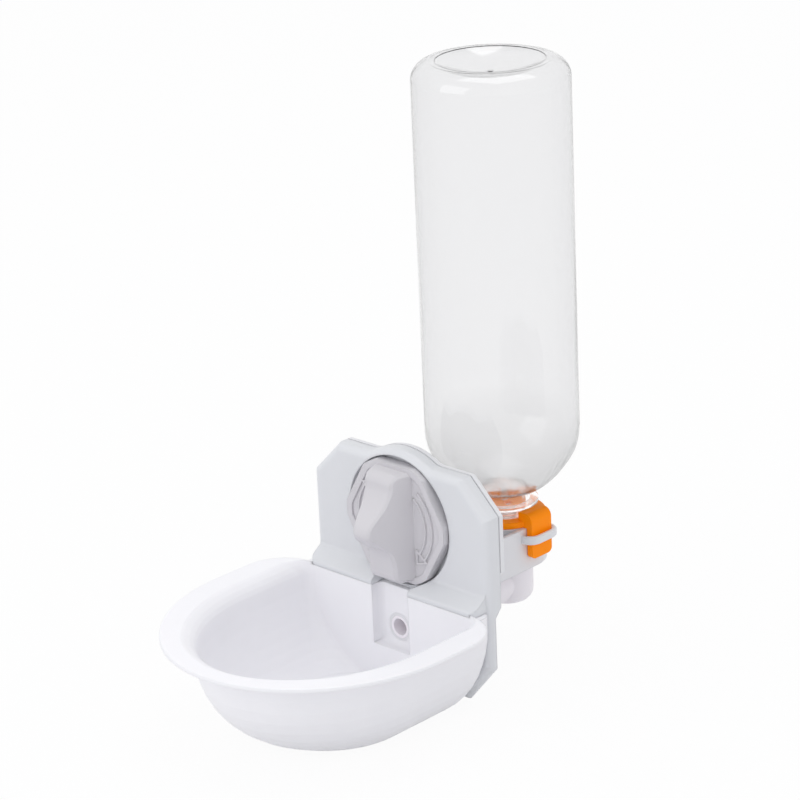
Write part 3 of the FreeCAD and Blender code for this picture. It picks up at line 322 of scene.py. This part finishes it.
@dataclass(frozen=True)
class ClearPlastic:
    """Clear blown plastic with a slightly wavy wall, thicker in its shoulder and neck and greyer in its
    shoulder; painted shade darkens its grazing edges, and its neck is painted lighter and glows.
    """

    name: str
    tint: Colour = (0.93, 0.93, 0.935)
    # Painted shade: the edge colours darken the wall towards its grazing edges, standing in for the longer
    # path through it; at the neck this painted shade is warm, standing in for the orange cap seen through.
    painted_edge_shade: Colour = (0.62, 0.62, 0.635)
    shoulder_tint: Colour = (0.84, 0.84, 0.845)
    painted_shoulder_edge_shade: Colour = (0.66, 0.66, 0.67)
    # Painted light: the neck is tinted lighter than the body and glows in that tint.
    painted_neck_light: Colour = (0.98, 0.98, 0.985)
    painted_neck_edge_shade: Colour = (0.86, 0.78, 0.76)
    shoulder_zone: tuple[float, float] = (34 * MM, 12 * MM)
    neck_zone: tuple[float, float] = (-7 * MM, -13 * MM)
    painted_neck_glow: float = 0.08
    edge_blend: float = 0.35
    edge_power: float = 2.2
    bending: float = 1.5
    roughness: float = 0.04
    shoulder_haze: float = 0.06
    scuff_size: float = 3 * MM
    scuff_haze: float = 0.03
    wave_sizes: Place = (16 * MM, 16 * MM, 90 * MM)
    wave_depth: float = 0.16 * MM
    wave_strength: float = 0.5

    def make(self) -> bpy.types.Material:
        """Build the material.

        Returns:
            The material.
        """
        material, wiring = new_material(self.name)
        waves = wiring.stretched_noise(self.wave_sizes, detail=1.5)
        scuffs = wiring.noise(self.scuff_size, detail=5.0, roughness=0.7)
        # Painted shade: the colour moves from the middle tint to the darker edge colour as the surface turns
        # away.
        facing = wiring.amount("ShaderNodeLayerWeight", {}, {"Blend": self.edge_blend}, "Facing")
        height = wiring.along("Z")
        shoulder = wiring.zone(height, self.shoulder_zone)
        neck = wiring.zone(height, self.neck_zone)
        middle = wiring.blend(neck, wiring.blend(shoulder, self.tint, self.shoulder_tint), self.painted_neck_light)
        painted_edge_colour = wiring.blend(neck, wiring.blend(shoulder, self.painted_edge_shade, self.painted_shoulder_edge_shade), self.painted_neck_edge_shade)
        shader = wiring.node("ShaderNodeBsdfPrincipled", {}, {
            "Base Color": wiring.blend(facing ** self.edge_power, middle, painted_edge_colour),
            "Roughness": self.roughness + scuffs * self.scuff_haze + shoulder * self.shoulder_haze,
            "IOR": self.bending,
            "Transmission Weight": 1.0,
            # Painted light: the neck emits its lighter tint.
            "Emission Color": wiring.blend(neck, BLACK, self.painted_neck_light),
            "Emission Strength": self.painted_neck_glow,
            "Normal": wiring.bump(waves, self.wave_depth, self.wave_strength)})
        wiring.node("ShaderNodeOutputMaterial", {}, {"Surface": shader.outputs[0]})
        return material


@dataclass(frozen=True)
class TurnedSteel:
    """Stainless steel with the fine rings that turning leaves."""

    name: str
    colour: Colour = (0.60, 0.60, 0.61)
    roughness: float = 0.28
    line_size: float = 0.25 * MM
    lines_per_wave: float = 20.0
    line_depth: float = 0.01 * MM
    line_strength: float = 0.4
    patch_size: float = 5 * MM
    patch_dulling: float = 0.2

    def make(self) -> bpy.types.Material:
        """Build the material.

        Returns:
            The material.
        """
        material, wiring = new_material(self.name)
        lines = wiring.amount("ShaderNodeTexWave", {"wave_type": "BANDS", "bands_direction": "Y"}, {
            "Vector": wiring.place(), "Scale": 1 / self.line_size / self.lines_per_wave,
            "Distortion": 0.6, "Detail": 2.0}, "Fac")
        patches = wiring.noise(self.patch_size, detail=3.0, roughness=0.5)
        shader = wiring.node("ShaderNodeBsdfPrincipled", {}, {
            "Base Color": (*self.colour, 1.0),
            "Metallic": 1.0,
            "Roughness": self.roughness + patches.swing(self.patch_dulling),
            "Normal": wiring.bump(lines, self.line_depth, self.line_strength)})
        wiring.node("ShaderNodeOutputMaterial", {}, {"Surface": shader.outputs[0]})
        return material


@dataclass(frozen=True)
class SoftRubber:
    """Silicone rubber, dull and faintly dusty."""

    name: str
    colour: Colour
    roughness: float = 0.62
    dust_size: float = 1.2 * MM
    dusting: float = 0.1
    dust_depth: float = 0.02 * MM
    dust_strength: float = 0.4
    dust_dulling: float = 0.15

    def make(self) -> bpy.types.Material:
        """Build the material.

        Returns:
            The material.
        """
        material, wiring = new_material(self.name)
        dust = wiring.noise(self.dust_size, detail=4.0, roughness=0.65)
        shader = wiring.node("ShaderNodeBsdfPrincipled", {}, {
            "Base Color": wiring.blend(dust, shaded(self.colour, 1 - self.dusting),
                                       shaded(self.colour, 1 + self.dusting)),
            "Roughness": self.roughness + dust.swing(self.dust_dulling),
            "Normal": wiring.bump(dust, self.dust_depth, self.dust_strength)})
        wiring.node("ShaderNodeOutputMaterial", {}, {"Surface": shader.outputs[0]})
        return material


class Finish(Enum):
    """The finishes that the dispenser's pieces have."""

    # The whites differ by painted light and shade: the bowl's is set far lighter than the plate's, lifting
    # its shaded inside, and the knob's is set darker, painted shade.
    PLATE = MouldedPlastic("white_plate", (0.73, 0.74, 0.765), edge_round=1.0 * MM)
    BOWL = MouldedPlastic("white_bowl", (0.915, 0.91, 0.938), roughness=0.40, shine=0.4, edge_round=1.2 * MM)
    KNOB = MouldedPlastic("white_knob", (0.655, 0.64, 0.668), roughness=0.42, edge_round=0.9 * MM)
    BRACKET = MouldedPlastic("white_bracket", (0.79, 0.79, 0.815))
    # Painted light: the elbow's glow brightens its front end, lifting the shaded bore of the outlet in the
    # bowl's channel.
    ELBOW = MouldedPlastic("white_elbow", (0.92, 0.885, 0.925), glow=0.035, painted_glow_zone=(24 * MM, -4 * MM))
    # Painted light: the cap's and the inner pieces' glows brighten them.
    CAP = MouldedPlastic("orange_cap", (1.0, 0.265, 0.002), roughness=0.36, clouding=0.04, scatter=0.10,
                         shine=0.12, glow=0.14)
    INNER = MouldedPlastic("plain_inner", (0.93, 0.88, 0.86), roughness=0.45, glow=0.08)
    WASHER = MouldedPlastic("slip_washer", (0.86, 0.86, 0.84), roughness=0.5)
    BOTTLE = ClearPlastic("clear_bottle")
    SEAL = SoftRubber("white_seal", (0.80, 0.80, 0.82))
    STEEL = TurnedSteel("turned_steel")


class FinishBook:
    """Makes each finish's material once."""

    def __init__(self) -> None:
        """Start with no material made."""
        self._made: dict[Finish, bpy.types.Material] = {}

    def material(self, finish: Finish) -> bpy.types.Material:
        """Give a finish's material.

        Args:
            finish: The finish.

        Returns:
            Its material, made on first use.
        """
        if finish not in self._made:
            self._made[finish] = finish.value.make()
        return self._made[finish]


class ShapeTree(Wiring):
    """A Geometry Nodes tree with named sizes, whose result becomes a plain mesh."""

    steps_per_turn = 28
    ridge_corners = 4

    def __init__(self, name: str) -> None:
        """Start a tree.

        Args:
            name: The tree's name.
        """
        super().__init__(bpy.data.node_groups.new(name, "GeometryNodeTree"))
        self.tree.interface.new_socket("Geometry", in_out="OUTPUT", socket_type="NodeSocketGeometry")
        self.values: dict[str, float] = {}
        self.entry = self.node("NodeGroupInput")

    def size(self, name: str, value: float) -> Amount:
        """Add a named input.

        Args:
            name: The input's name.
            value: The value that it gets.

        Returns:
            The input's value inside the tree.
        """
        socket = self.tree.interface.new_socket(name, in_out="INPUT", socket_type="NodeSocketFloat")
        self.values[socket.identifier] = value
        return Amount(self, self.entry.outputs[name])

    def vector(self, x: "Amount | float", y: "Amount | float", z: "Amount | float") -> Amount:
        """Join three values into a place."""
        return self.amount("ShaderNodeCombineXYZ", {}, {0: x, 1: y, 2: z})

    def bar(self, corners: int, radius: "Amount | float", end_radius: "Amount | float",
            start: "Amount | float", length: "Amount | float") -> Amount:
        """Add an upright bar, round or with corners.

        Args:
            corners: How many corners its outline has.
            radius: Its radius at the start, to the corners.
            end_radius: Its radius at the end.
            start: The level at which it starts.
            length: Its length.

        Returns:
            The bar.
        """
        bar = self.amount("GeometryNodeMeshCone", {}, {
            "Vertices": corners, "Radius Bottom": radius, "Radius Top": end_radius, "Depth": length}, "Mesh")
        return self.amount("GeometryNodeTransform", {}, {
            "Geometry": bar, "Translation": self.vector(0.0, 0.0, start)})

    def thread(self, crest: Amount, ridge: Amount, pitch: Amount,
               start: "Amount | float", length: Amount) -> Amount:
        """Add an upright screw thread's ridge.

        Args:
            crest: The ridge's outer radius.
            ridge: How far it stands out of the core.
            pitch: How far it climbs in one turn.
            start: The level at which it starts.
            length: The height that it covers.

        Returns:
            The ridge.
        """
        helix = self.amount("GeometryNodeCurveSpiral", {}, {
            "Resolution": self.steps_per_turn, "Rotations": length / pitch, "Start Radius": crest - ridge,
            "End Radius": crest - ridge, "Height": length})
        level = self.amount("GeometryNodeSetCurveNormal", {"mode": "Z_UP"}, {"Curve": helix})
        outline = self.amount("GeometryNodeCurvePrimitiveCircle", {"mode": "RADIUS"}, {
            "Resolution": self.ridge_corners, "Radius": ridge})
        swept = self.amount("GeometryNodeCurveToMesh", {}, {
            "Curve": level, "Profile Curve": outline, "Fill Caps": True})
        return self.amount("GeometryNodeTransform", {}, {
            "Geometry": swept, "Translation": self.vector(0.0, 0.0, start)})

    def joined(self, *parts: Amount) -> Amount:
        """Join several shapes.

        Args:
            parts: The shapes.

        Returns:
            All of them as one.
        """
        node = self.node("GeometryNodeJoinGeometry")
        for part in parts:
            self.tree.links.new(part.socket, node.inputs[0])
        return Amount(self, node.outputs[0])

    def piece(self, name: str, shape: Amount, material: bpy.types.Material) -> bpy.types.Object:
        """Close the tree and turn its result into a plain mesh.

        Args:
            name: The piece's name.
            shape: The finished shape.
            material: Its material.

        Returns:
            The piece.
        """
        real = self.amount("GeometryNodeRealizeInstances", {}, {"Geometry": shape})
        painted = self.amount("GeometryNodeSetMaterial", {}, {"Geometry": real, "Material": material})
        self.node("NodeGroupOutput", {}, {"Geometry": painted})
        piece = bpy.data.objects.new(name, bpy.data.meshes.new(name))
        bpy.context.scene.collection.objects.link(piece)
        modifier = piece.modifiers.new("shape", "NODES")
        modifier.node_group = self.tree
        for identifier, value in self.values.items():
            modifier[identifier] = value
        graph = bpy.context.evaluated_depsgraph_get()
        mesh = bpy.data.meshes.new_from_object(piece.evaluated_get(graph), depsgraph=graph)
        piece.modifiers.clear()
        piece.data = mesh
        mesh.name = name
        mesh.materials.clear()
        mesh.materials.append(material)
        mesh.polygons.foreach_set("material_index", [0] * len(mesh.polygons))
        LOG.info("%s: %d faces", name, len(mesh.polygons))
        return piece


@dataclass(frozen=True)
class ClampScrew:
    """The clamp screw with its hexagon head, clip groove and rolled thread, along +Y."""

    front: float = -10.5 * MM
    head_span: float = 15.0 * MM
    head_height: float = 5.3 * MM
    groove_start: float = -1.55 * MM
    groove_end: float = -0.5 * MM
    groove_radius: float = 3.3 * MM
    end: float = 24.0 * MM
    crest: float = 4.0 * MM
    ridge: float = 0.58 * MM
    pitch: float = 2.0 * MM
    tip: float = 1.2 * MM
    tip_taper: float = 0.5
    corners: int = 40

    def build(self, material: bpy.types.Material) -> bpy.types.Object:
        """Make the screw.

        Args:
            material: Its steel.

        Returns:
            The screw's piece.
        """
        tree = ShapeTree("clamp_screw_shape")
        crest = tree.size("Crest Radius", self.crest)
        ridge = tree.size("Ridge", self.ridge)
        pitch = tree.size("Pitch", self.pitch)
        end = tree.size("End", self.end - self.front)
        tip = tree.size("Tip", self.tip)
        groove = tree.size("Groove Start", self.groove_start - self.front)
        thread_start = tree.size("Thread Start", self.groove_end - self.front)
        core = crest - ridge
        room = end - thread_start
        shape = tree.joined(
            tree.bar(HEXAGON, self.head_span / 2, self.head_span / 2, 0.0, self.head_height),
            tree.bar(self.corners, crest, crest, self.head_height, groove - self.head_height),
            tree.bar(self.corners, self.groove_radius, self.groove_radius, groove, thread_start - groove),
            tree.bar(self.corners, core, core, thread_start, room - tip),
            tree.bar(self.corners, core, core - tip * self.tip_taper, end - tip, tip),
            tree.thread(crest, ridge, pitch, thread_start + ridge, room - tip - ridge * 2))
        laid = tree.amount("GeometryNodeTransform", {}, {
            "Geometry": shape, "Translation": (0.0, self.front, 0.0), "Rotation": LAID_ALONG_Y})
        return tree.piece("clamp_screw_threaded", laid, material)


@dataclass(frozen=True)
class BowlScrews:
    """The two cross-recess screws that hold the bowl, with their heads towards +Y."""

    side: float = 30.0 * MM
    drop: float = 72.0 * MM
    seat: float = -5.55 * MM
    length: float = 9.0 * MM
    head_radius: float = 3.2 * MM
    head_height: float = 1.4 * MM
    crest: float = 1.5 * MM
    ridge: float = 0.3 * MM
    pitch: float = 1.0 * MM
    recess_width: float = 0.6 * MM
    recess_span: float = 2.8 * MM
    head_taper: float = 0.3
    point_share: float = 0.2
    head_corners: int = 32
    corners: int = 24

    def build(self, material: bpy.types.Material) -> bpy.types.Object:
        """Make both screws as one piece.

        Args:
            material: Their steel.

        Returns:
            The screws' piece.
        """
        tree = ShapeTree("bowl_screw_shape")
        crest = tree.size("Crest Radius", self.crest)
        ridge = tree.size("Ridge", self.ridge)
        pitch = tree.size("Pitch", self.pitch)
        length = tree.size("Length", self.length)
        head = tree.size("Head Radius", self.head_radius)
        rise = tree.size("Head Height", self.head_height)
        core = crest - ridge
        recessed = tree.bar(self.head_corners, head, head - rise * self.head_taper, length, rise)
        for span, width in ((self.recess_span, self.recess_width), (self.recess_width, self.recess_span)):
            blade = tree.amount("GeometryNodeMeshCube", {}, {"Size": tree.vector(span, width, rise)}, "Mesh")
            raised = tree.amount("GeometryNodeTransform", {}, {
                "Geometry": blade, "Translation": tree.vector(0.0, 0.0, length + rise)})
            recessed = tree.amount(
                "GeometryNodeMeshBoolean", {"operation": "DIFFERENCE", "solver": "EXACT"},
                {"Mesh 1": recessed, "Mesh 2": raised}, "Mesh")
        screw = tree.joined(
            recessed,
            tree.bar(self.corners, core, core, core, length - core),
            tree.bar(self.corners, core * self.point_share, core, 0.0, core),
            tree.thread(crest, ridge, pitch, core, length - core - ridge))
        laid = tree.amount("GeometryNodeTransform", {}, {"Geometry": screw, "Rotation": LAID_ALONG_Y})
        places = tree.amount("GeometryNodeMeshLine", {"mode": "OFFSET"}, {
            "Count": 2, "Start Location": (-self.side, self.seat - self.length, -self.drop),
            "Offset": (2 * self.side, 0.0, 0.0)})
        both = tree.amount("GeometryNodeInstanceOnPoints", {}, {"Points": places, "Instance": laid})
        return tree.piece("bowl_screws_threaded", both, material)


@dataclass
class SubAssembly:
    """A group of carried-over pieces and the finishes they get."""

    nodes: dict[str, bpy.types.Object]
    finishes: FinishBook
    dress_list: dict[str, Finish] = field(default_factory=dict)

    def dress(self) -> None:
        """Give every carried-over piece its material."""
        for name, finish in self.dress_list.items():
            node = self.nodes[name]
            node.data.materials.clear()
            node.data.materials.append(self.finishes.material(finish))
            LOG.info("%s: %s", name, finish.value.name)

    @staticmethod
    def stand_in(piece: bpy.types.Object, body: str, *names: str) -> None:
        """Show a made piece in place of carried-over ones.

        Args:
            piece: The made piece.
            body: The body that it moves with.
            names: The nodes that it stands for.
        """
        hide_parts(*names)
        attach(piece, body)


@dataclass
class FrontGroup(SubAssembly):
    """The front plate with the drinking bowl screwed to it."""

    dress_list: dict[str, Finish] = field(default_factory=lambda: {
        "front_plate": Finish.PLATE, "drinking_bowl": Finish.BOWL, "outlet_seal": Finish.SEAL})
    screws: BowlScrews = BowlScrews()

    def dress(self) -> None:
        """Give the pieces their materials and put in the threaded screws."""
        super().dress()
        made = self.screws.build(self.finishes.material(Finish.STEEL))
        self.stand_in(made, "front", "bowl_screw_left", "bowl_screw_right")


@dataclass
class KnobGroup(SubAssembly):
    """The clamp knob with its screw."""

    dress_list: dict[str, Finish] = field(default_factory=lambda: {
        "clamp_knob": Finish.KNOB, "knob_washer": Finish.WASHER, "screw_clip": Finish.STEEL})
    screw: ClampScrew = ClampScrew()

    def dress(self) -> None:
        """Give the pieces their materials and put in the threaded screw."""
        super().dress()
        self.stand_in(self.screw.build(self.finishes.material(Finish.STEEL)), "knob", "clamp_screw")


@dataclass
class RearGroup(SubAssembly):
    """The rear bracket with the nut and the feed elbow."""

    dress_list: dict[str, Finish] = field(default_factory=lambda: {
        "rear_bracket": Finish.BRACKET, "clamp_nut": Finish.STEEL, "nut_cover": Finish.BRACKET,
        "feed_elbow": Finish.ELBOW, "elbow_seal": Finish.SEAL, "valve_lifter": Finish.INNER})


@dataclass
class BottleGroup(SubAssembly):
    """The bottle with its valve cap."""

    dress_list: dict[str, Finish] = field(default_factory=lambda: {
        "bottle": Finish.BOTTLE, "valve_cap": Finish.CAP, "cap_gasket": Finish.SEAL,
        "spring_cage": Finish.CAP, "valve_plunger": Finish.INNER, "valve_seal": Finish.SEAL,
        "valve_spring": Finish.STEEL})


@dataclass(frozen=True)
class Viewpoint:
    """The camera's place and lens, which give the photograph's view."""

    azimuth: float = 44.305
    elevation: float = 20.048
    roll: float = -2.563
    distance: float = 1427.15 * MM
    target: Place = (-15.167 * MM, 12.0 * MM, 50.941 * MM)
    lens: float = 136.25
    sensor: float = 36.0
    nearest: float = 0.05
    farthest: float = 20.0

    def build(self) -> None:
        """Make the camera and give it to the scene."""
        turn, lift, lean = (math.radians(a) for a in (self.azimuth, self.elevation, self.roll))
        back = Vector((math.sin(turn) * math.cos(lift), -math.cos(turn) * math.cos(lift), math.sin(lift)))
        level = Vector((math.cos(turn), math.sin(turn), 0.0))
        upright = back.cross(level)
        right = math.cos(lean) * level + math.sin(lean) * upright
        above = math.cos(lean) * upright - math.sin(lean) * level
        data = bpy.data.cameras.new("photo_view")
        data.lens = self.lens
        data.sensor_width = self.sensor
        data.clip_start = self.nearest
        data.clip_end = self.farthest
        camera = bpy.data.objects.new("photo_view", data)
        matrix = Matrix((right, above, back)).transposed().to_4x4()
        matrix.translation = Vector(self.target) + self.distance * back
        camera.matrix_world = matrix
        bpy.context.scene.collection.objects.link(camera)
        bpy.context.scene.camera = camera


@dataclass(frozen=True)
class Lamp:
    """A soft square lamp that points at the object."""

    name: str
    place: Place
    size: float
    power: float

    def build(self, aim: Vector) -> None:
        """Make the lamp.

        Args:
            aim: The point that it faces.
        """
        data = bpy.data.lights.new(self.name, "AREA")
        data.size = self.size
        data.energy = self.power
        lamp = bpy.data.objects.new(self.name, data)
        lamp.location = self.place
        lamp.rotation_euler = (aim - Vector(self.place)).to_track_quat("-Z", "Y").to_euler()
        bpy.context.scene.collection.objects.link(lamp)


@dataclass(frozen=True)
class Studio:
    """The pale floor, the white surroundings and the lamps."""

    floor_level: float
    floor_size: float = 6.0
    sky_level: float = 0.815
    sky_colour: Colour = (0.98, 0.985, 1.0)
    floor_colour: Colour = (0.86, 0.86, 0.87)
    floor_clouding: float = 0.01
    floor_grain: float = 1 / 60
    floor_glow: float = 0.94
    aim: Place = (0.0, 0.0, 0.03)
    lamps: tuple[Lamp, ...] = (
        Lamp("key_lamp", (-0.5, -1.8, 0.9), size=1.5, power=6.5),
        Lamp("side_lamp", (1.6, -0.6, 0.7), size=1.2, power=0.5),
        Lamp("top_lamp", (0.0, 0.3, 1.8), size=1.5, power=8.0),
    )

    def build(self) -> None:
        """Make the floor, the world and the lamps."""
        self._floor()
        self._world()
        for lamp in self.lamps:
            lamp.build(Vector(self.aim))

    def _seen_directly(self, wiring: Wiring) -> Amount:
        """Give one where a ray shows the surroundings themselves, and nought where it only lights.

        Args:
            wiring: The tree to add to.

        Returns:
            The value.
        """
        path = wiring.node("ShaderNodeLightPath")
        camera = Amount(wiring, path.outputs["Is Camera Ray"])
        glossy = Amount(wiring, path.outputs["Is Glossy Ray"])
        through = Amount(wiring, path.outputs["Is Transmission Ray"])
        return camera.larger(glossy).larger(through)

    def _floor(self) -> None:
        """Make the floor, white where it is seen and still holding the object's shadow."""
        half = self.floor_size / 2
        mesh = bpy.data.meshes.new("floor")
        corners = [(-half, -half), (half, -half), (half, half), (-half, half)]
        mesh.from_pydata([(x, y, self.floor_level) for x, y in corners], [], [(0, 1, 2, 3)])
        material, wiring = new_material("floor")
        tone = wiring.blend(wiring.noise(self.floor_grain, detail=2.0, roughness=0.5),
                            shaded(self.floor_colour, 1 - self.floor_clouding), self.floor_colour)
        matt = wiring.node("ShaderNodeBsdfDiffuse", {}, {"Color": tone})
        glow = wiring.node("ShaderNodeEmission", {}, {"Color": WHITE, "Strength": 1.0})
        mixed = wiring.node("ShaderNodeMixShader", {}, {
            0: self._seen_directly(wiring) * self.floor_glow, 1: matt.outputs[0], 2: glow.outputs[0]})
        wiring.node("ShaderNodeOutputMaterial", {}, {"Surface": mixed.outputs[0]})
        mesh.materials.append(material)
        floor = bpy.data.objects.new("floor", mesh)
        bpy.context.scene.collection.objects.link(floor)
        floor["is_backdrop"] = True

    def _world(self) -> None:
        """Make the surroundings: white to look at, soft and a little dimmer as a light."""
        world = bpy.data.worlds.new("surroundings")
        world.use_nodes = True
        wiring = Wiring(world.node_tree)
        light = wiring.node("ShaderNodeBackground", {}, {
            "Color": (*self.sky_colour, 1.0), "Strength": self.sky_level})
        white = wiring.node("ShaderNodeBackground", {}, {"Color": WHITE, "Strength": 1.0})
        mixed = wiring.node("ShaderNodeMixShader", {}, {
            0: self._seen_directly(wiring), 1: light.outputs[0], 2: white.outputs[0]})
        wiring.node("ShaderNodeOutputWorld", {}, {"Surface": mixed.outputs[0]})
        bpy.context.scene.world = world


def as_lists(corners: tuple) -> list[list[float]]:
    """Turn a box's two corners into plain lists of numbers."""
    return [[float(value) for value in corner] for corner in corners]


def main() -> None:
    """Load the frame, dress every piece and set the scene."""
    logging.basicConfig(level=logging.INFO, format="%(name)s %(message)s")
    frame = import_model()
    cad_box = as_lists(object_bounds())
    bpy.context.scene.view_settings.view_transform = "Standard"
    finishes = FinishBook()
    nodes = frame["nodes"]
    for group in (FrontGroup, KnobGroup, RearGroup, BottleGroup):
        group(nodes, finishes).dress()
    Viewpoint().build()
    Studio(floor_level=cad_box[0][2]).build()


if __name__ == "__main__":
    main()
